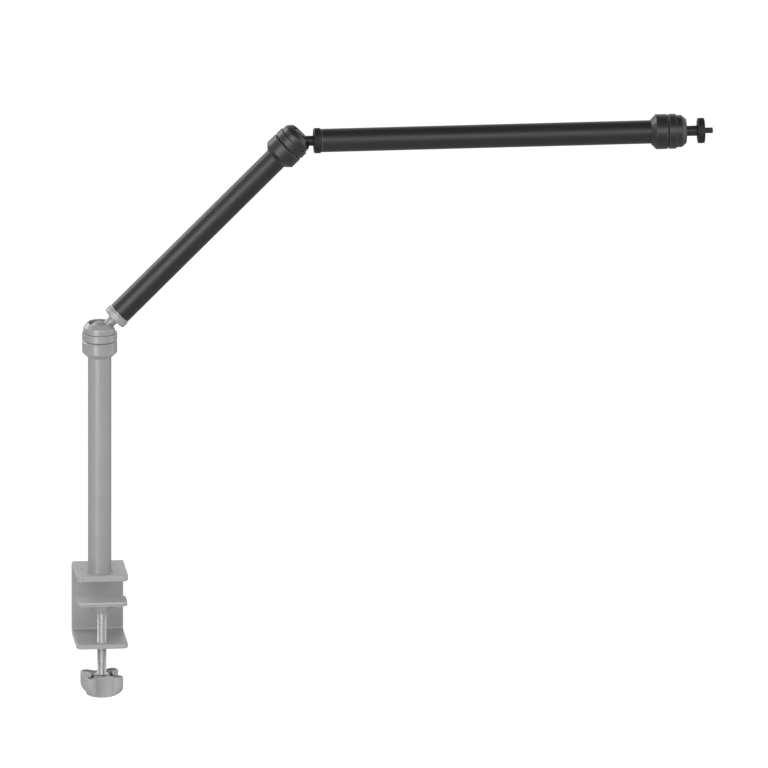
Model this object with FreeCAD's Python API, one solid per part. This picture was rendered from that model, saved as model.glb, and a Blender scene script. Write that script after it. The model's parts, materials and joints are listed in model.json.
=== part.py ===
import FreeCAD, Part
import math
import os

from FreeCAD import Vector

# Articulating friction arm with a desk clamp. Lengths in millimetres, angles in degrees.
# The origin lies in the underside of the clamp's top jaw, on the post's axis. +Z is up,
# the arm reaches towards +X, and the clamp's mouth opens towards -Y.

# Arm sections and how they stand at rest
tube_diameter = 25.0
tube_wall = 1.5
post_length = 263.1  # top of the clamp to the centre of the post's ball
middle_length = 263.4  # lock disc to the centre of the elbow's ball
upper_length = 378.4  # lock disc to the centre of the tip's ball
middle_tilt = 45.0  # from the vertical
upper_tilt = 90.0  # from the vertical
plug_flange = 1.2
plug_end_wall = 3.0
thread_end_gap = 3.0  # from the end of a screw to the bottom of its hole

# Clearances
glue_gap = 0.05  # around parts that are bonded or pressed together
thread_play = 0.2  # radial, on threads that turn
turning_gap = 0.3  # between collar, ring, neck and tube
face_gap = 0.1  # between flat faces that turn on each other
ball_play = 0.15  # radial, between the ball and its socket

# Ball stud and lock disc
ball_radius = 13.0
stem_radius = 5.5
stem_fillet = 1.5
stem_length = 21.8  # ball centre to the lock disc
tip_stem_length = 24.0
disc_radius = 13.5
disc_thickness = 7.4
disc_round = 1.2
disc_hub_radius = 7.5
disc_rim_land = 1.4
disc_recess = 0.5
screw_radius = 3.175
screw_length = 9.0  # beyond the lock disc
screw_chamfer = 0.7
relief_width = 1.2  # groove around the screw where it leaves the lock disc
relief_depth = 0.5
relief_beyond = 0.3  # how far the groove shows outside the lock disc

# Socket: notched cap, ring and nylon seat
cap_height = 11.8  # ball centre to the cap's rim
cap_radius = 17.3
cap_shoulder = 6.8  # height where the cap begins to taper
cap_rim_radius = 13.2
cap_round = 2.5
cap_rim_round = 0.6
cap_wall_below = 5.2  # height of the threaded skirt under the cap
cap_skirt_radius = 15.2
mouth_radius = 11.8
mouth_chamfer = 0.6
notch_width = 14.5
notch_drop = 1.5  # lowest point of the notch below the ball's centre
ring_radius = 18.7
ring_height = 8.3
ring_top = 0.9  # above the ball's centre
ring_seam = 0.4  # between the ring and the cap
ring_round = 0.5
ring_bevel = 1.0
sleeve_radius = 14.9
flange_radius = 15.9
flange_thickness = 2.5
seat_top = 4.5  # below the ball's centre
seat_bore = 6.5

# Lock collar, spring washer and neck
collar_seam = 0.6  # between the collar and the ring
collar_length = 12.5
collar_cone = 5.2
collar_foot = 13.4  # outer radius at the bottom of the cone
collar_lip = 2.0
collar_skirt = 3.5  # how far the collar reaches over the tube
neck_radius = 15.0
neck_under_ball = 0.5
neck_spigot = 16.0
neck_bore = 5.0
spring_height = 1.5
spring_thickness = 0.8
spring_radius = 12.5

# Desk clamp
clamp_width = 55.0
clamp_offset = 1.2  # the clamp's middle from the post's axis, along X
clamp_front = 22.0  # from the post's axis
clamp_back = 41.5  # from the post's axis
plate_top = 7.6  # above the desk
jaw_opening = 68.8
lower_jaw = 5.1
spine = 5.0
plan_corner = 5.0
back_round = 7.0
inner_round = 2.5
edge_bevel = 0.8
rubber_proud = 0.5
rubber_thickness = 2.0
rubber_width = 48.0
rubber_depth = 47.0
rubber_from_front = 4.0
rubber_corner = 3.0

# Fasteners in the top jaw
washer_radius = 14.0
washer_thickness = 1.0
bolt_radius = 4.0
bolt_head_radius = 7.5
bolt_length = 18.0
bolt_socket = 5.0  # across the flats of the hex recess
bolt_socket_depth = 2.5
rivet_x = 19.5  # from the clamp's middle
rivet_y = 2.5
rivet_radius = 2.0
rivet_head_radius = 3.2
rivet_head = 0.9

# Clamp screw, pressure plate and knob
screw_from_front = 10.0
rod_radius = 5.0
pilot_radius = 3.0
pilot_play = 0.3
plate_below_desk = 21.5
pad_thickness = 1.5
plate_thickness = 3.0
plate_width = 53.0
plate_depth = 26.0
plate_corner = 5.0
boss_height = 9.0
boss_radius = 7.0
boss_root_radius = 12.0
rib_reach = 21.0
rib_thickness = 5.0
rib_end = 1.0
recess_radius = 6.5
recess_depth = 2.0
clip_radius = 5.5
clip_thickness = 0.8
clip_groove = 0.5
clip_gap = 0.2
clip_opening = 4.0
knob_drop = 29.8  # lower jaw to the knob
knob_height = 23.5
knob_lobes = 4
knob_lobe_radius = 6.5
knob_lobe_centre = 19.6
knob_flute_radius = 11.0
knob_phase = -39.0
knob_top_round = 1.0
knob_lower_round = 1.2
knob_brim = 0.3  # how much wider the knob's bowl is than its lobes
knob_bowl_flat = 9.0
knob_wall = 2.2
knob_pocket_depth = 11.0
knob_hub_radius = 8.6
knob_rib = 2.0
insert_radius = 7.5
insert_flange = 1.2
insert_barrel = 6.7
insert_depth = 14.0
rod_in_knob = 15.0

# Heights along a ball head, measured from the ball's centre
ring_bottom = ring_top - ring_height
collar_top = ring_bottom - collar_seam
cone_top = collar_top - collar_length
collar_bottom = cone_top - collar_cone
tube_end = collar_bottom + collar_skirt
neck_top = -(ball_radius + neck_under_ball)
seat_bottom = neck_top + spring_height
lip_bottom = collar_top - collar_lip
flange_top = lip_bottom - turning_gap
flange_bottom = flange_top - flange_thickness
cap_bottom = ring_top + ring_seam
skirt_bottom = cap_bottom - cap_wall_below

tube_radius = tube_diameter / 2
tube_bore = tube_radius - tube_wall
socket_radius = ball_radius + ball_play
stud_reach = stem_length + disc_thickness
on_clamp = Vector(clamp_offset, 0, 0)
on_screw = Vector(clamp_offset, screw_from_front - clamp_front, 0)
plate_underside = rubber_proud
lower_jaw_top = -jaw_opening
lower_jaw_bottom = lower_jaw_top - lower_jaw
pad_top = -plate_below_desk
pressure_top = pad_top - pad_thickness
boss_top = pressure_top - plate_thickness
boss_bottom = boss_top - boss_height
knob_top = lower_jaw_bottom - knob_drop
hub_top = knob_top - insert_flange


def turned(outline):
    """Solid of revolution about Z; each outline point is (radius, height)."""
    points = [Vector(radius, 0, height) for radius, height in outline]
    wire = Part.makePolygon(points + points[:1])
    return Part.Face(wire).revolve(Vector(), Vector(0, 0, 1), 360)


def rod(radius, bottom, top):
    return Part.makeCylinder(radius, top - bottom, Vector(0, 0, bottom))


def pipe(outer, inner, bottom, top):
    return rod(outer, bottom, top).cut(rod(inner, bottom - 1, top + 1))


def circle_edges(solid, radius, height):
    """Whole circles about Z at one radius and height."""
    found = []
    for edge in solid.Edges:
        if edge.Degenerated or not isinstance(edge.Curve, Part.Circle):
            continue
        same_radius = abs(edge.Curve.Radius - radius) < 1e-4
        centre = edge.Curve.Center
        on_axis = math.hypot(centre.x, centre.y) < 1e-4
        if same_radius and on_axis and abs(centre.z - height) < 1e-4:
            found.append(edge)
    return found


def rounded(solid, radius, height, size):
    return solid.makeFillet(size, circle_edges(solid, radius, height))


def bevelled(solid, radius, height, size):
    return solid.makeChamfer(size, circle_edges(solid, radius, height))


def rounded_slab(width, depth, corner, bottom, top, centre_y=0.0):
    """Upright slab with rounded corners, centred on the YZ plane."""
    slab = Part.makeBox(
        width, depth, top - bottom, Vector(-width / 2, centre_y - depth / 2, bottom)
    )
    upright = [edge for edge in slab.Edges if abs(edge.Vertexes[0].Z - edge.Vertexes[-1].Z) > 1e-4]
    return slab.makeFillet(corner, upright)


def hexagon(across_flats, bottom, top):
    radius = across_flats / math.sqrt(3)
    corners = []
    for index in range(7):
        angle = math.radians(60 * index)
        corners.append(Vector(radius * math.cos(angle), radius * math.sin(angle), bottom))
    return Part.Face(Part.makePolygon(corners)).extrude(Vector(0, 0, top - bottom))


def placed(shape, origin, tilt):
    """Turns a part built along +Z so that +Z leans towards +X, and moves it to its origin."""
    moved = shape.copy()
    moved.Placement = FreeCAD.Placement(origin, FreeCAD.Rotation(Vector(0, 1, 0), tilt))
    return moved


def along(origin, tilt, distance):
    angle = math.radians(tilt)
    return origin + Vector(math.sin(angle), 0, math.cos(angle)) * distance


def lock_collar():
    """Union nut: it runs on the neck's thread and pulls the ring down by its flange."""
    thread_bore = neck_radius + thread_play
    body = turned([
        (collar_foot, collar_bottom),
        (ring_radius, cone_top),
        (ring_radius, collar_top),
        (sleeve_radius + turning_gap, collar_top),
        (sleeve_radius + turning_gap, lip_bottom),
        (flange_radius + turning_gap, lip_bottom),
        (flange_radius + turning_gap, flange_bottom - turning_gap),
        (thread_bore, flange_bottom - turning_gap),
        (thread_bore, tube_end - turning_gap),
        (tube_radius + turning_gap, tube_end - turning_gap),
        (tube_radius + turning_gap, collar_bottom),
    ])
    body = bevelled(body, ring_radius, collar_top, ring_bevel)
    return rounded(body, ring_radius, cone_top, ring_round)


def socket_ring():
    """Outer ring, threaded for the cap, with a sleeve and flange inside the collar."""
    body = turned([
        (sleeve_radius, ring_bottom),
        (ring_radius, ring_bottom),
        (ring_radius, ring_top),
        (cap_skirt_radius + glue_gap, ring_top),
        (cap_skirt_radius + glue_gap, skirt_bottom),
        (socket_radius, skirt_bottom),
        (socket_radius, flange_bottom),
        (flange_radius, flange_bottom),
        (flange_radius, flange_top),
        (sleeve_radius, flange_top),
    ])
    body = bevelled(body, ring_radius, ring_bottom, ring_bevel)
    return rounded(body, ring_radius, ring_top, ring_round)


def notched_cap():
    """Cap that holds the ball from above, with a U-shaped notch for the stem on its +X side."""
    body = turned([
        (0, skirt_bottom),
        (cap_skirt_radius, skirt_bottom),
        (cap_skirt_radius, cap_bottom),
        (cap_radius, cap_bottom),
        (cap_radius, cap_shoulder),
        (cap_rim_radius, cap_height),
        (0, cap_height),
    ])
    body = rounded(body, cap_radius, cap_shoulder, cap_round)
    body = rounded(body, cap_rim_radius, cap_height, cap_rim_round)
    cavity = Part.makeSphere(socket_radius).fuse(rod(socket_radius, skirt_bottom - 1, 0))
    body = body.cut(cavity.fuse(rod(mouth_radius, 0, cap_height + 1)))
    body = bevelled(body, mouth_radius, cap_height, mouth_chamfer)
    half_notch = notch_width / 2
    notch_centre = half_notch - notch_drop
    floor = Part.makeCylinder(half_notch, ring_radius, Vector(0, 0, notch_centre), Vector(1, 0, 0))
    walls = Part.makeBox(ring_radius, notch_width, cap_height, Vector(0, -half_notch, notch_centre))
    return body.cut(floor.fuse(walls))


def ball_seat():
    """Nylon seat with a hollow top that carries the ball."""
    body = pipe(socket_radius - face_gap, seat_bore, seat_bottom, -seat_top)
    return body.cut(Part.makeSphere(socket_radius))


def spring_washer():
    """Conical spring washer between the neck and the seat."""
    return turned([
        (seat_bore, seat_bottom),
        (seat_bore, seat_bottom - spring_thickness),
        (spring_radius, neck_top),
        (spring_radius, neck_top + spring_thickness),
    ])


def head_neck():
    """Neck with the collar's thread, and a spigot that is bonded into the tube."""
    barrel = bevelled(rod(neck_radius, tube_end, neck_top), neck_radius, neck_top, ring_round)
    spigot = rod(tube_bore - glue_gap, tube_end - neck_spigot, tube_end)
    return barrel.fuse(spigot).removeSplitter().cut(rod(neck_bore, tube_end - neck_spigot - 1, 0))


def ball_stud(stem_end):
    """Ball, stem and screw in one turned piece, along +Z from the ball's centre."""
    ball = Part.makeSphere(ball_radius)
    stem = rod(stem_radius, 0, stem_end - face_gap)
    meeting = math.sqrt(ball_radius ** 2 - stem_radius ** 2)
    body = ball.fuse(stem)
    body = rounded(body, stem_radius, meeting, stem_fillet)
    disc_face = stem_end + disc_thickness
    tip = disc_face + screw_length
    screw = bevelled(rod(screw_radius, stem_end - 1, tip), screw_radius, tip, screw_chamfer)
    relief_top = disc_face + relief_beyond
    relief = pipe(screw_radius + 1, screw_radius - relief_depth, relief_top - relief_width, relief_top)
    return body.fuse(screw).cut(relief)


def lock_disc(near):
    """Disc that runs on the stud's screw, with a shallow recess in both faces."""
    far = near + disc_thickness
    body = pipe(disc_radius, screw_radius + thread_play, near, far)
    body = rounded(body, disc_radius, near, disc_round)
    body = rounded(body, disc_radius, far, disc_round)
    recess_edge = disc_radius - disc_round - disc_rim_land
    body = body.cut(pipe(recess_edge, disc_hub_radius, near - 1, near + disc_recess))
    return body.cut(pipe(recess_edge, disc_hub_radius, far - disc_recess, far + 1))


def end_plug(thread_radius, thread_depth):
    """Plug in the lower end of a tube, its flange under the tube's end."""
    hole_depth = thread_depth + thread_end_gap
    flange = rod(tube_radius, 0, plug_flange)
    spigot = rod(tube_bore - glue_gap, plug_flange, hole_depth + plug_end_wall)
    return flange.fuse(spigot).cut(rod(thread_radius + thread_play, -1, hole_depth))


def section_tube(length):
    """Tube from the plug's flange to the neck's shoulder."""
    return pipe(tube_radius, tube_bore, plug_flange, length + tube_end)


def clamp_profile():
    """Side view of the C-shaped extrusion, in the YZ plane."""
    front = -clamp_front
    back = clamp_back
    inside = clamp_back - spine
    outline = Part.makePolygon([
        Vector(0, front, plate_top),
        Vector(0, back, plate_top),
        Vector(0, back, lower_jaw_bottom),
        Vector(0, front, lower_jaw_bottom),
        Vector(0, front, lower_jaw_top),
        Vector(0, inside, lower_jaw_top),
        Vector(0, inside, plate_underside),
        Vector(0, front, plate_underside),
        Vector(0, front, plate_top),
    ])
    return Part.Face(outline)


def edges_along_x(solid, y, z):
    found = []
    for edge in solid.Edges:
        first, last = edge.Vertexes[0].Point, edge.Vertexes[-1].Point
        on_line = all(abs(p.y - y) < 1e-4 and abs(p.z - z) < 1e-4 for p in (first, last))
        if on_line and abs(first.x - last.x) > 1:
            found.append(edge)
    return found


def side_edges(solid):
    """Edges around the two flat sides of the clamp, without the upright corner seams."""
    found = []
    for edge in solid.Edges:
        ends = [vertex.Point for vertex in edge.Vertexes]
        on_side = all(abs(abs(p.x) - clamp_width / 2) < 1e-4 for p in ends)
        on_seam = all(abs(p.y - plan_corner + clamp_front) < 1e-4 for p in ends)
        if on_side and not on_seam:
            found.append(edge)
    return found


def bolt_shape(play):
    """Countersunk bolt up through the top jaw; play widens it into its own hole."""
    head_bottom = rubber_thickness
    neck = head_bottom + bolt_head_radius - bolt_radius
    return turned([
        (0, head_bottom),
        (bolt_head_radius + play, head_bottom),
        (bolt_radius + play, neck),
        (bolt_radius + play, head_bottom + bolt_length),
        (0, head_bottom + bolt_length),
    ])


def rubber_pocket(play, bottom, top):
    centre_y = rubber_from_front - clamp_front + rubber_depth / 2
    return rounded_slab(
        rubber_width + 2 * play, rubber_depth + 2 * play, rubber_corner + play,
        bottom, top, centre_y,
    )


def rivets(play):
    """Two flat-headed rivets that hold the rubber to the top jaw."""
    solids = []
    for side in (-1, 1):
        bottom = rubber_thickness
        head = plate_top - rivet_head
        shape = turned([
            (0, bottom),
            (rivet_radius + play, bottom),
            (rivet_radius + play, head),
            (rivet_head_radius + play, head),
            (rivet_head_radius + play, plate_top + play),
            (0, plate_top + play),
        ])
        solids.append(shape.translated(Vector(side * rivet_x, rivet_y, 0)))
    return Part.makeCompound(solids)


def clamp_frame():
    """Extruded C frame with its corner rounds, bevels, pockets and holes."""
    body = clamp_profile().extrude(Vector(clamp_width, 0, 0))
    body.translate(Vector(-clamp_width / 2, 0, 0))
    inside = clamp_back - spine
    outer = edges_along_x(body, clamp_back, plate_top)
    outer += edges_along_x(body, clamp_back, lower_jaw_bottom)
    body = body.makeFillet(back_round, outer)
    inner = edges_along_x(body, inside, plate_underside) + edges_along_x(body, inside, lower_jaw_top)
    body = body.makeFillet(inner_round, inner)
    fronts = []
    for edge in body.Edges:
        ends = [vertex.Point for vertex in edge.Vertexes]
        upright = abs(ends[0].z - ends[-1].z) > 1
        if upright and all(abs(p.y + clamp_front) < 1e-4 for p in ends):
            fronts.append(edge)
    body = body.makeFillet(plan_corner, fronts)
    body = body.makeChamfer(edge_bevel, side_edges(body))
    body = body.cut(rubber_pocket(glue_gap, plate_underside - 1, rubber_thickness))
    body = body.cut(rivets(glue_gap))
    rod_hole = rod(rod_radius + thread_play, lower_jaw_bottom - 1, lower_jaw_top + 1)
    body = body.translated(on_clamp).cut(rod_hole.translated(on_screw))
    return body.cut(bolt_shape(glue_gap))


def post_bolt():
    socket = hexagon(bolt_socket, rubber_thickness - 1, rubber_thickness + bolt_socket_depth)
    return bolt_shape(0).cut(socket)


def pressure_plate():
    """Cast plate with a conical boss and a tapered rib on each side."""
    plate = rounded_slab(plate_width, plate_depth, plate_corner, boss_top, pressure_top)
    boss = turned([
        (0, boss_bottom),
        (boss_radius, boss_bottom),
        (boss_root_radius, boss_top),
        (0, boss_top),
    ])
    half = rib_thickness / 2
    rib = Part.Face(Part.makePolygon([
        Vector(-rib_reach, -half, boss_top),
        Vector(-rib_reach, -half, boss_top - rib_end),
        Vector(-boss_radius, -half, boss_bottom + rib_end),
        Vector(boss_radius, -half, boss_bottom + rib_end),
        Vector(rib_reach, -half, boss_top - rib_end),
        Vector(rib_reach, -half, boss_top),
        Vector(-rib_reach, -half, boss_top),
    ])).extrude(Vector(0, rib_thickness, 0))
    body = plate.fuse(boss).fuse(rib).removeSplitter()
    body = body.cut(rod(pilot_radius + pilot_play, boss_bottom - 1, pressure_top + 1))
    return body.cut(rod(recess_radius, pressure_top - recess_depth, pressure_top + 1))


def pressure_pad():
    return rounded_slab(plate_width, plate_depth, plate_corner, pressure_top, pad_top)


def clip_bottom():
    return pressure_top - recess_depth + clip_gap


def clamp_screw():
    """Threaded rod with a pilot that turns in the pressure plate, grooved for its clip."""
    low = clip_bottom()
    high = low + clip_thickness
    pilot_top = pressure_top - clip_gap
    groove = pilot_radius - clip_groove
    end = knob_top - rod_in_knob
    return turned([
        (0, end),
        (rod_radius, end),
        (rod_radius, boss_bottom - face_gap),
        (pilot_radius, boss_bottom - face_gap),
        (pilot_radius, low),
        (groove, low),
        (groove, high),
        (pilot_radius, high),
        (pilot_radius, pilot_top),
        (0, pilot_top),
    ])


def screw_clip():
    """Retaining clip, open on one side."""
    low = clip_bottom()
    ring = pipe(clip_radius, pilot_radius - clip_groove, low, low + clip_thickness)
    opening = Part.makeBox(
        clip_opening, clip_radius, clip_thickness, Vector(-clip_opening / 2, 0, low)
    )
    return ring.cut(opening)


def knob_outline(height, inset):
    """Closed outline of round lobes joined by tangent flutes, drawn inwards by the inset."""
    lobe_radius = knob_lobe_radius - inset
    flute_radius = knob_flute_radius + inset
    step = 2 * math.pi / knob_lobes
    reach = knob_lobe_radius + knob_flute_radius
    across = knob_lobe_centre * math.sin(step / 2)
    flute_centre = knob_lobe_centre * math.cos(step / 2) + math.sqrt(reach ** 2 - across ** 2)

    def at(distance, angle):
        return Vector(distance * math.cos(angle), distance * math.sin(angle), height)

    edges = []
    for index in range(knob_lobes):
        angle = math.radians(knob_phase) + index * step
        lobe = at(knob_lobe_centre, angle)
        before = at(flute_centre, angle - step / 2)
        after = at(flute_centre, angle + step / 2)
        following = at(knob_lobe_centre, angle + step)
        start = lobe + (before - lobe) * (lobe_radius / reach)
        finish = lobe + (after - lobe) * (lobe_radius / reach)
        resume = following + (after - following) * (lobe_radius / reach)
        crest = at(knob_lobe_centre + lobe_radius, angle)
        valley = at(flute_centre - flute_radius, angle + step / 2)
        edges.append(Part.Arc(start, crest, finish).toShape())
        edges.append(Part.Arc(finish, valley, resume).toShape())
    return Part.Face(Part.Wire(edges))


def level_edges(solid, height):
    return [
        edge for edge in solid.Edges
        if all(abs(vertex.Z - height) < 1e-4 for vertex in edge.Vertexes)
    ]


def bowl_edges(solid):
    """Edges where the upright sides of the lobes meet the bowl underneath."""
    found = []
    for edge in solid.Edges:
        surfaces = {type(face.Surface).__name__ for face in solid.ancestorsOfType(edge, Part.Face)}
        if surfaces == {"Cylinder", "Toroid"} and len(edge.Vertexes) == 2:
            found.append(edge)
    return found


def knob_hollow():
    """Space in the knob's top between its rim, its hub and the ribs to its lobes."""
    floor = knob_top - knob_pocket_depth
    kept = rod(knob_hub_radius, floor, hub_top)
    for index in range(knob_lobes):
        rib = Part.makeBox(
            knob_lobe_centre + knob_lobe_radius, knob_rib, hub_top - floor,
            Vector(0, -knob_rib / 2, floor),
        )
        rib.rotate(Vector(), Vector(0, 0, 1), knob_phase + index * 360 / knob_lobes)
        kept = kept.fuse(rib)
    space = knob_outline(floor, knob_wall).extrude(Vector(0, 0, knob_pocket_depth))
    return space.cut(kept)


def clamp_knob():
    """Lobed knob, bowl-shaped underneath, with a ribbed hollow around its insert."""
    bottom = knob_top - knob_height
    lobed = knob_outline(bottom, 0).extrude(Vector(0, 0, knob_height))
    lobed = lobed.makeFillet(knob_top_round, level_edges(lobed, knob_top))
    bowl_radius = knob_lobe_centre + knob_lobe_radius + knob_brim
    bowl = rounded(rod(bowl_radius, bottom, knob_top), bowl_radius, bottom, bowl_radius - knob_bowl_flat)
    body = lobed.common(bowl)
    body = body.makeFillet(knob_lower_round, bowl_edges(body))
    bore = rod(insert_barrel, hub_top - insert_depth, knob_top)
    return body.cut(knob_hollow()).cut(bore)


def knob_insert():
    """Flanged metal insert that the rod is fixed in."""
    barrel = rod(insert_barrel - glue_gap, hub_top - insert_depth + face_gap, hub_top)
    flange = rod(insert_radius, hub_top, knob_top)
    bore = rod(rod_radius + glue_gap, knob_top - rod_in_knob - face_gap, knob_top)
    return barrel.fuse(flange).cut(bore)


def export(name, shape):
    if not shape.isValid():
        raise ValueError(name + " is not a valid solid")
    shape.exportStep("parts/" + name + ".step")


def export_head(name, centre, tilt):
    """The pieces of one ball head, all but the stud and its disc."""
    pieces = {
        "collar": lock_collar(),
        "ring": socket_ring(),
        "cap": notched_cap(),
        "seat": ball_seat(),
        "spring": spring_washer(),
        "neck": head_neck(),
    }
    for piece, shape in pieces.items():
        export(name + "_" + piece, placed(shape, centre, tilt))


def export_stud(name, centre, tilt, stem_end):
    export(name + "_ball_stud", placed(ball_stud(stem_end), centre, tilt))
    export(name + "_lock_disc", placed(lock_disc(stem_end), centre, tilt))


def export_arm():
    """Three sections in a row, each ending in a ball head whose stud carries the next."""
    post_base = Vector(0, 0, plate_top)
    washer = pipe(washer_radius, bolt_radius + thread_play, 0, washer_thickness)
    export("post_washer", placed(washer, post_base, 0))
    post_ball = along(post_base, 0, post_length)
    post_foot = along(post_base, 0, washer_thickness)
    bolt_end = rubber_thickness + bolt_length
    export("post_plug", placed(end_plug(bolt_radius, bolt_end - post_foot.z), post_foot, 0))
    export("post_tube", placed(section_tube(post_length - washer_thickness), post_foot, 0))
    export_head("post", post_ball, 0)
    export_stud("post", post_ball, middle_tilt, stem_length)

    middle_foot = along(post_ball, middle_tilt, stud_reach + face_gap)
    elbow_ball = along(middle_foot, middle_tilt, middle_length)
    export("middle_plug", placed(end_plug(screw_radius, screw_length), middle_foot, middle_tilt))
    export("middle_tube", placed(section_tube(middle_length), middle_foot, middle_tilt))
    export_head("elbow", elbow_ball, middle_tilt)
    export_stud("elbow", elbow_ball, upper_tilt, stem_length)

    upper_foot = along(elbow_ball, upper_tilt, stud_reach + face_gap)
    tip_ball = along(upper_foot, upper_tilt, upper_length)
    export("upper_plug", placed(end_plug(screw_radius, screw_length), upper_foot, upper_tilt))
    export("upper_tube", placed(section_tube(upper_length), upper_foot, upper_tilt))
    export_head("tip", tip_ball, upper_tilt)
    export_stud("tip", tip_ball, upper_tilt, tip_stem_length)


def export_clamp():
    export("clamp_frame", clamp_frame())
    export("jaw_rubber", rubber_pocket(0, 0, rubber_thickness).translated(on_clamp))
    export("rubber_rivets", rivets(0).translated(on_clamp))
    export("post_bolt", post_bolt())
    pieces = {
        "pressure_plate": pressure_plate(),
        "pressure_pad": pressure_pad(),
        "clamp_screw": clamp_screw(),
        "screw_clip": screw_clip(),
        "clamp_knob": clamp_knob(),
        "knob_insert": knob_insert(),
    }
    for name, shape in pieces.items():
        export(name, shape.translated(on_screw))


os.makedirs("parts", exist_ok=True)
export_clamp()
export_arm()
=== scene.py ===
import json
import math

import bmesh
import bpy
from mathutils import Matrix, Vector


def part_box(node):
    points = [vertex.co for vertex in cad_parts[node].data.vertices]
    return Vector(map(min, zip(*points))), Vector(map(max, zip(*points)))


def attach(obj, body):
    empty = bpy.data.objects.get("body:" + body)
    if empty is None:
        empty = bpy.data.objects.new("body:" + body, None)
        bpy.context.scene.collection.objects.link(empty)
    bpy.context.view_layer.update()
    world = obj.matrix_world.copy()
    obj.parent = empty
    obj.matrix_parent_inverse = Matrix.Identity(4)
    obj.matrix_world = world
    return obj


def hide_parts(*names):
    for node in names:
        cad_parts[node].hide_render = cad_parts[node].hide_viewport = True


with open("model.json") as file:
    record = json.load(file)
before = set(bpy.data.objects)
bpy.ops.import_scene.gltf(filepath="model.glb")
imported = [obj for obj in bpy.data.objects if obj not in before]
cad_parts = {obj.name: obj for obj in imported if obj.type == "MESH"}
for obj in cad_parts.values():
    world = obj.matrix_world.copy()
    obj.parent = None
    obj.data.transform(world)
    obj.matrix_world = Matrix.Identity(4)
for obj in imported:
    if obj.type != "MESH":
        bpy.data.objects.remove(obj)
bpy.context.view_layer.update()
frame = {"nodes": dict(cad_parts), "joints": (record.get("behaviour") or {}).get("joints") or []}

scene = bpy.context.scene
nodes = frame["nodes"]
joints = {joint["name"]: joint for joint in frame["joints"]}
millimetre = 0.001


def jointPlace(name):
    return Vector(joints[name]["pos_m"])


def jointAxis(name):
    return Vector(joints[name]["axis"]).normalized()


def spanAlong(nodeName, place, axis):
    # How far a CAD piece reaches along an axis, both ways from a place, in millimetres
    piece = nodes[nodeName]
    reach = [(piece.matrix_world @ vertex.co - place).dot(axis) for vertex in piece.data.vertices]
    return min(reach) / millimetre, max(reach) / millimetre


# Camera: parallel view, a little from above and from the left of the arm's plane
cameraSetup = {
    "azimuth": -5.3,
    "elevation": 16.5,
    "frameWidth": 0.8170,
    "right": 0.3025,
    "up": 0.2052,
    "distance": 2.5,
    "clipEnd": 20,
}


def addCamera(setup):
    turn = math.radians(setup["azimuth"])
    lift = math.radians(setup["elevation"])
    right = Vector((math.cos(turn), math.sin(turn), 0))
    back = Vector((math.sin(turn) * math.cos(lift), -math.cos(turn) * math.cos(lift), math.sin(lift)))
    up = back.cross(right)
    data = bpy.data.cameras.new("camera")
    data.type = "ORTHO"
    data.ortho_scale = setup["frameWidth"]
    data.clip_end = setup["clipEnd"]
    camera = bpy.data.objects.new("camera", data)
    scene.collection.objects.link(camera)
    place = right * setup["right"] + up * setup["up"] + back * setup["distance"]
    turnMatrix = Matrix((right, up, back)).transposed().to_4x4()
    camera.matrix_world = Matrix.Translation(place) @ turnMatrix
    scene.camera = camera


addCamera(cameraSetup)
print("camera set")


# Light: tall soft boxes at the left, right and back, a broad one in front, and a pale room
lampSetups = {
    "leftBox": {"place": (-0.72, -1.32, 0.5), "aim": (0.05, 0, 0.25), "size": (0.6, 1.6), "watts": 13.5},
    "rightBox": {"place": (1.75, -0.15, 0.4), "aim": (0.2, 0, 0.25), "size": (0.6, 1.5), "watts": 4.5},
    "backBox": {"place": (-1.15, 1.25, 1.35), "aim": (0.1, 0, 0.3), "size": (0.8, 1.3), "watts": 12.5},
    "frontBox": {"place": (0.45, -1.6, 1.2), "aim": (0.3, 0, 0.25), "size": (1.9, 0.9), "watts": 9.5},
}


def addLamp(name, setup):
    data = bpy.data.lights.new(name, "AREA")
    data.shape = "RECTANGLE"
    data.size, data.size_y = setup["size"]
    data.energy = setup["watts"]
    lamp = bpy.data.objects.new(name, data)
    scene.collection.objects.link(lamp)
    place = Vector(setup["place"])
    lamp.location = place
    lamp.rotation_euler = (Vector(setup["aim"]) - place).to_track_quat("-Z", "Y").to_euler()


for lampName, lampSetup in lampSetups.items():
    addLamp(lampName, lampSetup)


def addNode(tree, kind, values=None, **settings):
    node = tree.nodes.new(kind)
    for key, value in settings.items():
        setattr(node, key, value)
    for key, value in (values or {}).items():
        node.inputs[key].default_value = value
    return node


roomSetup = {
    "fillLight": 0.64,
    "horizon": 1.0,
    "ceiling": 0.15,
    "horizonEdge": 0.50,  # height of the ray's direction where the white wall ends
    "ceilingEdge": 0.85,
}


def whiteRays(tree):
    # 1 for rays that show the background itself: straight, mirrored or through glass
    path = addNode(tree, "ShaderNodeLightPath")
    first = addNode(tree, "ShaderNodeMath", operation="MAXIMUM")
    second = addNode(tree, "ShaderNodeMath", operation="MAXIMUM")
    tree.links.new(path.outputs["Is Camera Ray"], first.inputs[0])
    tree.links.new(path.outputs["Is Glossy Ray"], first.inputs[1])
    tree.links.new(first.outputs[0], second.inputs[0])
    tree.links.new(path.outputs["Is Transmission Ray"], second.inputs[1])
    return path, second.outputs[0]


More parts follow.
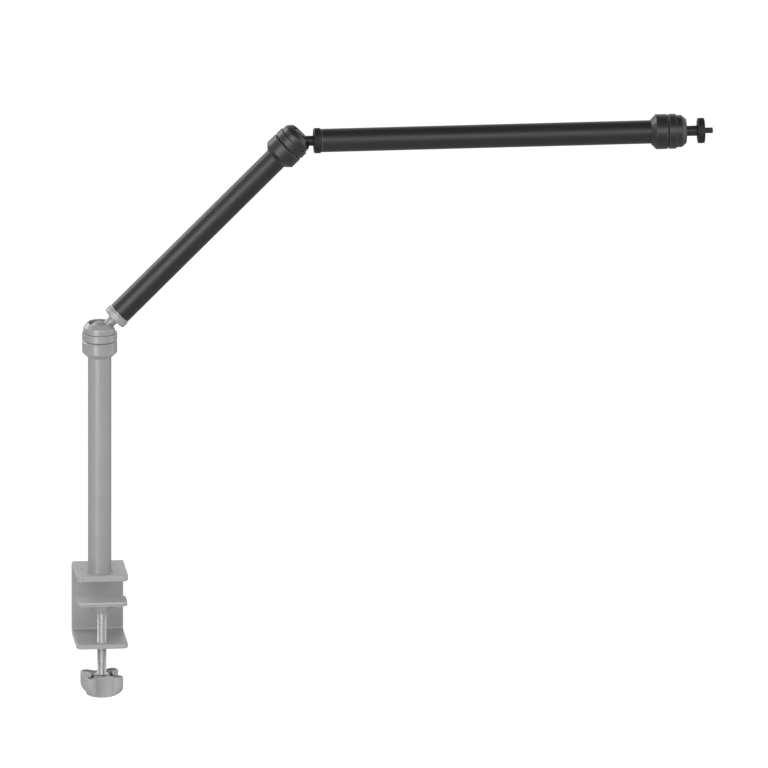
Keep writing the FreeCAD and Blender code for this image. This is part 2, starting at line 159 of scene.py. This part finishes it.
def makeRoom(setup):
    world = bpy.data.worlds.new("room")
    scene.world = world
    world.use_nodes = True
    tree = world.node_tree
    tree.nodes.clear()
    path, shown = whiteRays(tree)
    coords = addNode(tree, "ShaderNodeTexCoord")
    split = addNode(tree, "ShaderNodeSeparateXYZ")
    tree.links.new(coords.outputs["Generated"], split.inputs[0])
    height = addNode(tree, "ShaderNodeMapRange", {
        "From Min": setup["horizonEdge"], "From Max": setup["ceilingEdge"],
        "To Min": setup["horizon"], "To Max": setup["ceiling"],
    })
    tree.links.new(split.outputs["Z"], height.inputs["Value"])
    straight = addNode(tree, "ShaderNodeMath", operation="MAXIMUM")
    tree.links.new(height.outputs[0], straight.inputs[0])
    tree.links.new(path.outputs["Is Camera Ray"], straight.inputs[1])
    strength = addNode(tree, "ShaderNodeMix", {"A": setup["fillLight"]}, data_type="FLOAT")
    tree.links.new(shown, strength.inputs["Factor"])
    tree.links.new(straight.outputs[0], strength.inputs["B"])
    background = addNode(tree, "ShaderNodeBackground", {"Color": (1, 1, 1, 1)})
    tree.links.new(strength.outputs["Result"], background.inputs["Strength"])
    output = addNode(tree, "ShaderNodeOutputWorld")
    tree.links.new(background.outputs[0], output.inputs["Surface"])


makeRoom(roomSetup)

# Floor: white to the camera, a dim grey to mirrors, and a pale bounce for soft light
floorSetup = {"height": -0.36, "size": 12.0, "white": 0.80, "mirrored": 0.15, "own": 0.34, "bounce": 0.8}


def addFloor(setup):
    mesh = bpy.data.meshes.new("floor")
    half = setup["size"] / 2
    corners = [(-half, -half, 0), (half, -half, 0), (half, half, 0), (-half, half, 0)]
    mesh.from_pydata(corners, [], [(0, 1, 2, 3)])
    floor = bpy.data.objects.new("floor", mesh)
    floor.location.z = setup["height"]
    scene.collection.objects.link(floor)
    material = bpy.data.materials.new("floorWhite")
    material.use_nodes = True
    tree = material.node_tree
    tree.nodes.clear()
    path, shown = whiteRays(tree)
    bounce = addNode(tree, "ShaderNodeBsdfDiffuse", {"Color": (setup["bounce"],) * 3 + (1,)})
    own = addNode(tree, "ShaderNodeBsdfDiffuse", {"Color": (setup["own"],) * 3 + (1,)})
    strength = addNode(tree, "ShaderNodeMix", {
        "A": setup["mirrored"], "B": setup["white"],
    }, data_type="FLOAT")
    tree.links.new(path.outputs["Is Camera Ray"], strength.inputs["Factor"])
    glow = addNode(tree, "ShaderNodeEmission", {"Color": (1, 1, 1, 1)})
    tree.links.new(strength.outputs["Result"], glow.inputs["Strength"])
    total = addNode(tree, "ShaderNodeAddShader")
    tree.links.new(own.outputs[0], total.inputs[0])
    tree.links.new(glow.outputs[0], total.inputs[1])
    choice = addNode(tree, "ShaderNodeMixShader")
    tree.links.new(shown, choice.inputs[0])
    tree.links.new(bounce.outputs[0], choice.inputs[1])
    tree.links.new(total.outputs[0], choice.inputs[2])
    output = addNode(tree, "ShaderNodeOutputMaterial")
    tree.links.new(choice.outputs[0], output.inputs["Surface"])
    mesh.materials.append(material)


addFloor(floorSetup)
print("light and floor set")


# Finishes: grain, bump depth and the spacing of turning lines are in metres
# The edge colour is partly edge wear and partly a painted highlight along edges and seams
finishes = {
    "greyAnodised": {
        "colour": (0.258, 0.260, 0.263), "pale": (0.294, 0.296, 0.299), "edge": (0.52, 0.525, 0.53),
        "metallic": 0.15, "specular": 0.6, "roughness": (0.34, 0.42), "grain": 0.00035, "depth": 0.00002,
    },
    "greyExtruded": {
        "colour": (0.300, 0.302, 0.305), "pale": (0.342, 0.344, 0.347), "edge": (0.40, 0.402, 0.405),
        "metallic": 0.15, "specular": 0.6, "roughness": (0.34, 0.42), "grain": 0.00035, "depth": 0.00002,
    },
    "greyTurned": {
        "colour": (0.262, 0.264, 0.268), "pale": (0.308, 0.310, 0.314), "edge": (0.60, 0.605, 0.61),
        "metallic": 0.2, "specular": 0.6, "roughness": (0.30, 0.38), "grain": 0.00025, "depth": 0.000015,
        "lines": 0.00030,
    },
    "greyCast": {
        "colour": (0.255, 0.257, 0.260), "pale": (0.292, 0.294, 0.297), "edge": (0.50, 0.505, 0.51),
        "metallic": 0.05, "specular": 0.5, "roughness": (0.42, 0.55), "grain": 0.0011, "depth": 0.00006,
    },
    "blackAnodised": {
        "colour": (0.010, 0.0102, 0.0108), "pale": (0.014, 0.0142, 0.015), "edge": (0.05, 0.051, 0.053),
        "metallic": 0.0, "specular": 0.45, "roughness": (0.36, 0.44), "grain": 0.00035, "depth": 0.00002,
    },
    "blackTurned": {
        "colour": (0.012, 0.0122, 0.013), "pale": (0.018, 0.0182, 0.019), "edge": (0.20, 0.202, 0.206),
        "metallic": 0.0, "specular": 0.5, "roughness": (0.32, 0.40), "grain": 0.00025, "depth": 0.000015,
        "lines": 0.00030,
    },
    "blackSteel": {
        "colour": (0.016, 0.0162, 0.017), "pale": (0.024, 0.0242, 0.025), "edge": (0.10, 0.101, 0.103),
        "metallic": 0.1, "specular": 0.4, "roughness": (0.34, 0.44), "grain": 0.0004, "depth": 0.00001,
    },
    "blackKnurled": {
        "colour": (0.006, 0.0061, 0.0065), "pale": (0.009, 0.0091, 0.0096), "edge": (0.05, 0.051, 0.053),
        "metallic": 0.0, "specular": 0.32, "roughness": (0.40, 0.50), "grain": 0.00025, "depth": 0.000015,
        "lines": 0.00030,
    },
    "greySteel": {
        "colour": (0.270, 0.272, 0.276), "pale": (0.320, 0.322, 0.326), "edge": (0.45, 0.455, 0.46),
        "metallic": 0.3, "specular": 0.5, "roughness": (0.38, 0.48), "grain": 0.0004, "depth": 0.00001,
    },
    "brightChrome": {
        "colour": (0.48, 0.484, 0.492), "pale": (0.55, 0.554, 0.560), "edge": (0.70, 0.704, 0.710),
        "metallic": 1.0, "specular": 0.5, "roughness": (0.30, 0.38), "grain": 0.0006, "depth": 0.000005,
    },
    "springSteel": {
        "colour": (0.40, 0.405, 0.42), "pale": (0.47, 0.475, 0.49), "edge": (0.65, 0.655, 0.66),
        "metallic": 1.0, "specular": 0.5, "roughness": (0.24, 0.34), "grain": 0.0005, "depth": 0.00001,
    },
    "whiteNylon": {
        "colour": (0.74, 0.72, 0.66), "pale": (0.80, 0.785, 0.74), "edge": (0.86, 0.85, 0.82),
        "metallic": 0.0, "specular": 0.4, "roughness": (0.42, 0.55), "grain": 0.0006, "depth": 0.00001,
    },
    "greyRubber": {
        "colour": (0.360, 0.362, 0.364), "pale": (0.400, 0.402, 0.404), "edge": (0.36, 0.362, 0.365),
        "metallic": 0.0, "specular": 0.2, "roughness": (0.72, 0.86), "grain": 0.0007, "depth": 0.00005,
    },
    "greyKnob": {
        "colour": (0.275, 0.276, 0.278), "pale": (0.315, 0.316, 0.318), "edge": (0.42, 0.425, 0.43),
        "metallic": 0.0, "specular": 0.6, "roughness": (0.32, 0.42), "grain": 0.0005, "depth": 0.00003,
    },
}
edgeSetup = {"radius": 0.0005, "samples": 4, "flat": 0.995, "sharp": 0.86}
surfaceSetup = {
    "cloudSize": 0.03, "cloudDetail": 4.0, "grainDetail": 3.0, "lineDetail": 2.0, "grainShare": 0.5,
    "rampLow": 0.35, "rampHigh": 0.68, "cloudLow": 0.3, "cloudHigh": 0.7,
    "grainStrength": 0.6, "lineStrength": 0.5,
}
made = {}


def wearAndHighlightMask(tree, setup):
    # Bright where the surface turns sharply, for edge wear and a painted highlight along edges and seams:
    # rounded normal against the true one
    soft = addNode(tree, "ShaderNodeBevel", {"Radius": setup["radius"]}, samples=setup["samples"])
    geometry = addNode(tree, "ShaderNodeNewGeometry")
    together = addNode(tree, "ShaderNodeVectorMath", operation="DOT_PRODUCT")
    tree.links.new(soft.outputs[0], together.inputs[0])
    tree.links.new(geometry.outputs["Normal"], together.inputs[1])
    mask = addNode(tree, "ShaderNodeMapRange", {"From Min": setup["flat"], "From Max": setup["sharp"]})
    tree.links.new(together.outputs["Value"], mask.inputs["Value"])
    return mask.outputs[0]


def noise(tree, coords, size, detail):
    node = addNode(tree, "ShaderNodeTexNoise", {"Scale": 1 / size, "Detail": detail})
    tree.links.new(coords, node.inputs["Vector"])
    return node.outputs["Fac"]


def finishColour(tree, finish, cloud, grain, setup):
    # Two tones in clouds and grain, with worn edges that also carry a painted highlight
    blend = addNode(tree, "ShaderNodeMix", {"Factor": setup["grainShare"]}, data_type="FLOAT")
    tree.links.new(cloud, blend.inputs["A"])
    tree.links.new(grain, blend.inputs["B"])
    tones = addNode(tree, "ShaderNodeValToRGB")
    low, high = tones.color_ramp.elements
    low.position, high.position = setup["rampLow"], setup["rampHigh"]
    low.color, high.color = finish["colour"] + (1,), finish["pale"] + (1,)
    tree.links.new(blend.outputs["Result"], tones.inputs["Fac"])
    # Edge colour mixed in at sharp edges: real wear and a painted highlight together
    wornEdgeAndHighlight = addNode(tree, "ShaderNodeMix", data_type="RGBA")
    tree.links.new(wearAndHighlightMask(tree, edgeSetup), wornEdgeAndHighlight.inputs["Factor"])
    tree.links.new(tones.outputs["Color"], wornEdgeAndHighlight.inputs["A"])
    wornEdgeAndHighlight.inputs["B"].default_value = finish["edge"] + (1,)
    return wornEdgeAndHighlight.outputs["Result"]


def turningLines(tree, finish, coords, axis, normal, setup):
    # Fine rings around a turned piece, as a lathe leaves them
    position = addNode(tree, "ShaderNodeVectorMath", operation="DOT_PRODUCT")
    tree.links.new(coords, position.inputs[0])
    position.inputs[1].default_value = axis
    rings = addNode(tree, "ShaderNodeTexNoise", {
        "Scale": 1 / finish["lines"], "Detail": setup["lineDetail"],
    })
    rings.noise_dimensions = "1D"
    tree.links.new(position.outputs["Value"], rings.inputs["W"])
    bump = addNode(tree, "ShaderNodeBump", {
        "Strength": setup["lineStrength"], "Distance": finish["depth"],
    })
    tree.links.new(rings.outputs["Fac"], bump.inputs["Height"])
    tree.links.new(normal, bump.inputs["Normal"])
    return bump.outputs["Normal"]


def makeFinish(name, axis=None):
    # A turned piece gets its rings square to its axis
    key = name if axis is None else name + "_%d" % round(math.degrees(math.atan2(axis.x, axis.z)))
    if key in made:
        return made[key]
    finish, setup = finishes[name], surfaceSetup
    material = bpy.data.materials.new(key)
    material.use_nodes = True
    tree = material.node_tree
    shader = tree.nodes["Principled BSDF"]
    shader.inputs["Metallic"].default_value = finish["metallic"]
    shader.inputs["Specular IOR Level"].default_value = finish["specular"]
    coords = addNode(tree, "ShaderNodeTexCoord").outputs["Object"]
    cloud = noise(tree, coords, setup["cloudSize"], setup["cloudDetail"])
    grain = noise(tree, coords, finish["grain"], setup["grainDetail"])
    tree.links.new(finishColour(tree, finish, cloud, grain, setup), shader.inputs["Base Color"])

    low, high = finish["roughness"]
    rough = addNode(tree, "ShaderNodeMapRange", {
        "From Min": setup["cloudLow"], "From Max": setup["cloudHigh"], "To Min": low, "To Max": high,
    })
    tree.links.new(cloud, rough.inputs["Value"])
    tree.links.new(rough.outputs[0], shader.inputs["Roughness"])

    bump = addNode(tree, "ShaderNodeBump", {
        "Strength": setup["grainStrength"], "Distance": finish["depth"],
    })
    tree.links.new(grain, bump.inputs["Height"])
    normal = bump.outputs["Normal"]
    if axis is not None:
        normal = turningLines(tree, finish, coords, axis, normal, setup)
    tree.links.new(normal, shader.inputs["Normal"])
    made[key] = material
    return material


def finishNode(nodeName, finishName, axis=None):
    material = makeFinish(finishName, axis)
    mesh = nodes[nodeName].data
    mesh.materials.clear()
    mesh.materials.append(material)


upright = Vector((0, 0, 1))
plainNodes = {
    "clamp_frame": "greyExtruded",
    "jaw_rubber": "greyRubber",
    "rubber_rivets": "greySteel",
    "post_bolt": "greySteel",
    "post_tube": "greyAnodised",
    "pressure_plate": "greyCast",
    "pressure_pad": "greyRubber",
    "screw_clip": "springSteel",
    "clamp_knob": "greyKnob",
    "knob_insert": "brightChrome",
    "middle_tube": "blackAnodised",
    "upper_tube": "blackAnodised",
}
for nodeName, finishName in plainNodes.items():
    finishNode(nodeName, finishName)
finishNode("post_washer", "greyTurned", upright)
finishNode("post_plug", "greyTurned", upright)
finishNode("middle_plug", "greyTurned", jointAxis("middle_arm_spin"))
finishNode("upper_plug", "blackTurned", jointAxis("upper_arm_spin"))

heads = {"post": "grey", "elbow": "black", "tip": "black"}
for head, tone in heads.items():
    axis = jointAxis(head + "_socket_swivel")
    for piece in ("collar", "ring", "cap", "neck"):
        finishNode(head + "_" + piece, tone + "Turned", axis)
    finishNode(head + "_seat", "whiteNylon")
    finishNode(head + "_spring", "springSteel")
print("finishes set")


def meshObject(name, shape, material, smoothAngle=35):
    mesh = bpy.data.meshes.new(name)
    shape.to_mesh(mesh)
    shape.free()
    mesh.materials.append(material)
    piece = bpy.data.objects.new(name, mesh)
    scene.collection.objects.link(piece)
    for face in mesh.polygons:
        face.use_smooth = True
    mesh.set_sharp_from_angle(angle=math.radians(smoothAngle))
    return piece


def standUp(place, axis):
    # Turns local +Z to the axis, which lies in the XZ plane
    tilt = math.atan2(axis.x, axis.z)
    return Matrix.Translation(place) @ Matrix.Rotation(tilt, 4, "Y")


def latheShape(rows, segments, wobble=None):
    # Turns rows of (radius, height) about Z; wobble(row, angle) shifts a radius
    shape = bmesh.new()
    rings = []
    for index, (radius, height) in enumerate(rows):
        if radius == 0:
            rings.append([shape.verts.new((0, 0, height))])
            continue
        ring = []
        for step in range(segments):
            angle = 2 * math.pi * step / segments
            reach = radius + (wobble(index, angle) if wobble else 0)
            ring.append(shape.verts.new((reach * math.cos(angle), reach * math.sin(angle), height)))
        rings.append(ring)
    for lower, upper in zip(rings, rings[1:]):
        for step in range(segments):
            following = (step + 1) % segments
            if len(lower) == 1:
                shape.faces.new((lower[0], upper[following], upper[step]))
            elif len(upper) == 1:
                shape.faces.new((lower[step], lower[following], upper[0]))
            else:
                shape.faces.new((lower[step], lower[following], upper[following], upper[step]))
    return shape


def arcRows(radius, height, size, start, end, steps):
    # Points of a circular arc in the radius-height plane, angles in degrees
    rows = []
    for step in range(steps + 1):
        angle = math.radians(start + (end - start) * step / steps)
        rows.append((radius + size * math.cos(angle), height + size * math.sin(angle)))
    return rows


grooveMiddle = 0.5  # as a share of the pitch
flankRise = 2.6  # how fast a groove's wall rises to the crest


def threadRows(major, pitch, bottom, top, perPitch):
    count = round((top - bottom) / pitch * perPitch)
    return [(major, bottom + (top - bottom) * step / count) for step in range(count + 1)]


def threadCut(heights, first, last, depth, pitch, runOut):
    # Cut of a V thread with a flat crest, fading out over the run-out at each end
    def cut(index, angle):
        if index < first or index > last:
            return 0
        height = heights[index]
        phase = (height / pitch - angle / (2 * math.pi)) % 1
        tooth = min(1, flankRise * abs(phase - grooveMiddle))
        fade = min(1, (height - heights[first]) / runOut, (heights[last] - height) / runOut)
        return -depth * (1 - tooth) * max(0, fade)
    return cut


# Ball studs: ball, stem and camera thread turned in one piece
studSetup = {
    "stem": 5.5, "fillet": 1.6, "shoulderRound": 0.5, "underDisc": 0.1, "thread": 3.175, "depth": 0.42,
    "relief": 0.5, "reliefEnd": 0.3, "reliefRamp": 0.2, "pitch": 1.27, "runOut": 0.381, "chamfer": 0.7,
    "ballStart": -87, "ballSteps": 48, "filletSteps": 6, "roundSteps": 4, "segments": 64, "perPitch": 8,
}


def studShape(setup, ball, discNear, discFar, end):
    # Heights run up the stem from the ball's centre
    stem, fillet, edge = setup["stem"], setup["fillet"], setup["shoulderRound"]
    shoulder = discNear - setup["underDisc"]
    # The fillet's circle touches the ball and the stem
    filletRadius = stem + fillet
    filletHeight = math.sqrt((ball + fillet) ** 2 - filletRadius ** 2)
    touch = math.degrees(math.atan2(filletHeight, filletRadius))
    rows = [(0, -ball)]
    rows += arcRows(0, 0, ball, setup["ballStart"], touch, setup["ballSteps"])
    rows += arcRows(filletRadius, filletHeight, fillet, touch + 180, 180, setup["filletSteps"])[1:]
    rows += arcRows(stem - edge, shoulder - edge, edge, 0, 90, setup["roundSteps"])
    root = setup["thread"] - setup["relief"]
    threadStart = discFar + setup["reliefEnd"]
    rows += [(root, shoulder), (root, threadStart - setup["reliefRamp"])]
    first = len(rows)
    top = end - setup["chamfer"]
    rows += threadRows(setup["thread"], setup["pitch"], threadStart, top, setup["perPitch"])
    last = len(rows) - 1
    rows += [(setup["thread"] - setup["chamfer"], end), (0, end)]
    heights = [height for radius, height in rows]
    cut = threadCut(heights, first, last, setup["depth"], setup["pitch"], setup["runOut"])
    shape = latheShape(rows, setup["segments"], cut)
    bmesh.ops.scale(shape, vec=(millimetre,) * 3, verts=shape.verts)
    return shape


def addStud(head, tone, setup):
    place = jointPlace(head + "_disc_turn")
    axis = jointAxis(head + "_disc_turn")
    discNear, discFar = spanAlong(head + "_lock_disc", place, axis)
    low, end = spanAlong(head + "_ball_stud", place, axis)
    shape = studShape(setup, -low, discNear, discFar, end)
    stud = meshObject(head + "_stud_threaded", shape, makeFinish(tone + "Steel"))
    stud.data.transform(standUp(place, axis))
    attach(stud, head + "_stud")
    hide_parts(head + "_ball_stud")


for head, tone in heads.items():
    addStud(head, tone, studSetup)
print("ball studs made")


# Lock discs: a knurled rim between two rounded shoulders, and a shallow recess in each face
discSetup = {
    "radius": 13.5, "bore": 3.375, "round": 1.2, "roundSteps": 6, "recess": 0.5, "hub": 7.5, "land": 1.4,
    "slope": 0.2, "knurls": 60, "perKnurl": 4, "knurlDepth": 0.3, "knurlMargin": 1.6, "knurlRamp": 0.4,
    "joinWithin": 1e-5,
}
discFinishes = {"grey": "greyTurned", "black": "blackKnurled"}


def discShape(setup, near, far):
    radius, edge, slope, hub, bore = (setup[key] for key in ("radius", "round", "slope", "hub", "bore"))
    rim = radius - edge
    inner, outer = hub + slope, rim - setup["land"]
    nearFloor, farFloor = near + setup["recess"], far - setup["recess"]
    rows = [(bore, near), (hub, near), (inner, nearFloor), (outer - slope, nearFloor), (outer, near)]
    rows += arcRows(rim, near + edge, edge, -90, 0, setup["roundSteps"])
    low, high, ramp = near + setup["knurlMargin"], far - setup["knurlMargin"], setup["knurlRamp"]
    knurled = (len(rows) + 1, len(rows) + 2)
    rows += [(radius, low), (radius, low + ramp), (radius, high - ramp), (radius, high)]
    rows += arcRows(rim, far - edge, edge, 0, 90, setup["roundSteps"])
    rows += [(outer, far), (outer - slope, farFloor), (inner, farFloor), (hub, far), (bore, far)]
    rows.append(rows[0])

    def knurl(index, angle):
        if index not in knurled:
            return 0
        return -setup["knurlDepth"] * (1 - math.cos(angle * setup["knurls"])) / 2

    shape = latheShape(rows, setup["knurls"] * setup["perKnurl"], knurl)
    bmesh.ops.remove_doubles(shape, verts=shape.verts, dist=setup["joinWithin"])
    bmesh.ops.scale(shape, vec=(millimetre,) * 3, verts=shape.verts)
    return shape


def addDisc(head, tone, setup):
    place = jointPlace(head + "_disc_turn")
    axis = jointAxis(head + "_disc_turn")
    near, far = spanAlong(head + "_lock_disc", place, axis)
    finish = makeFinish(discFinishes[tone], axis)
    disc = meshObject(head + "_disc_knurled", discShape(setup, near, far), finish)
    disc.data.transform(standUp(place, axis))
    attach(disc, head + "_disc")
    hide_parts(head + "_lock_disc")


for head, tone in heads.items():
    addDisc(head, tone, discSetup)
print("lock discs made")


# Clamp spindle: a metric thread along the rod and a plain pilot in the pressure plate
spindleSetup = {
    "depth": 0.7, "pitch": 1.5, "runOut": 0.75, "perPitch": 8, "segments": 48, "pilot": 3.0,
    "pilotHeight": 10.6, "pilotChamfer": 0.3, "shoulderChamfer": 0.4, "chamfer": 0.8, "plainEnd": 1.0,
}


def addSpindle(setup):
    low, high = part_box("clamp_screw")
    radius = (high.x - low.x) / 2 / millimetre
    bottom, top = low.z / millimetre, high.z / millimetre
    shoulder = top - setup["pilotHeight"]
    pilot, pilotChamfer, shoulderChamfer = setup["pilot"], setup["pilotChamfer"], setup["shoulderChamfer"]
    rows = [(0, bottom), (radius - setup["chamfer"], bottom)]
    first = len(rows)
    threadTop = shoulder - setup["plainEnd"]
    rows += threadRows(radius, setup["pitch"], bottom + setup["chamfer"], threadTop, setup["perPitch"])
    last = len(rows) - 1
    rows += [(radius, shoulder - shoulderChamfer), (radius - shoulderChamfer, shoulder), (pilot, shoulder)]
    rows += [(pilot, top - pilotChamfer), (pilot - pilotChamfer, top), (0, top)]
    heights = [height for reach, height in rows]
    cut = threadCut(heights, first, last, setup["depth"], setup["pitch"], setup["runOut"])
    shape = latheShape(rows, setup["segments"], cut)
    bmesh.ops.scale(shape, vec=(millimetre,) * 3, verts=shape.verts)
    spindle = meshObject("clamp_spindle_threaded", shape, makeFinish("brightChrome"))
    spindle.data.transform(Matrix.Translation(((low.x + high.x) / 2, (low.y + high.y) / 2, 0)))
    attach(spindle, "clamp_spindle")
    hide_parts("clamp_screw")


addSpindle(spindleSetup)
print("clamp spindle made")

scene.view_settings.view_transform = "Standard"
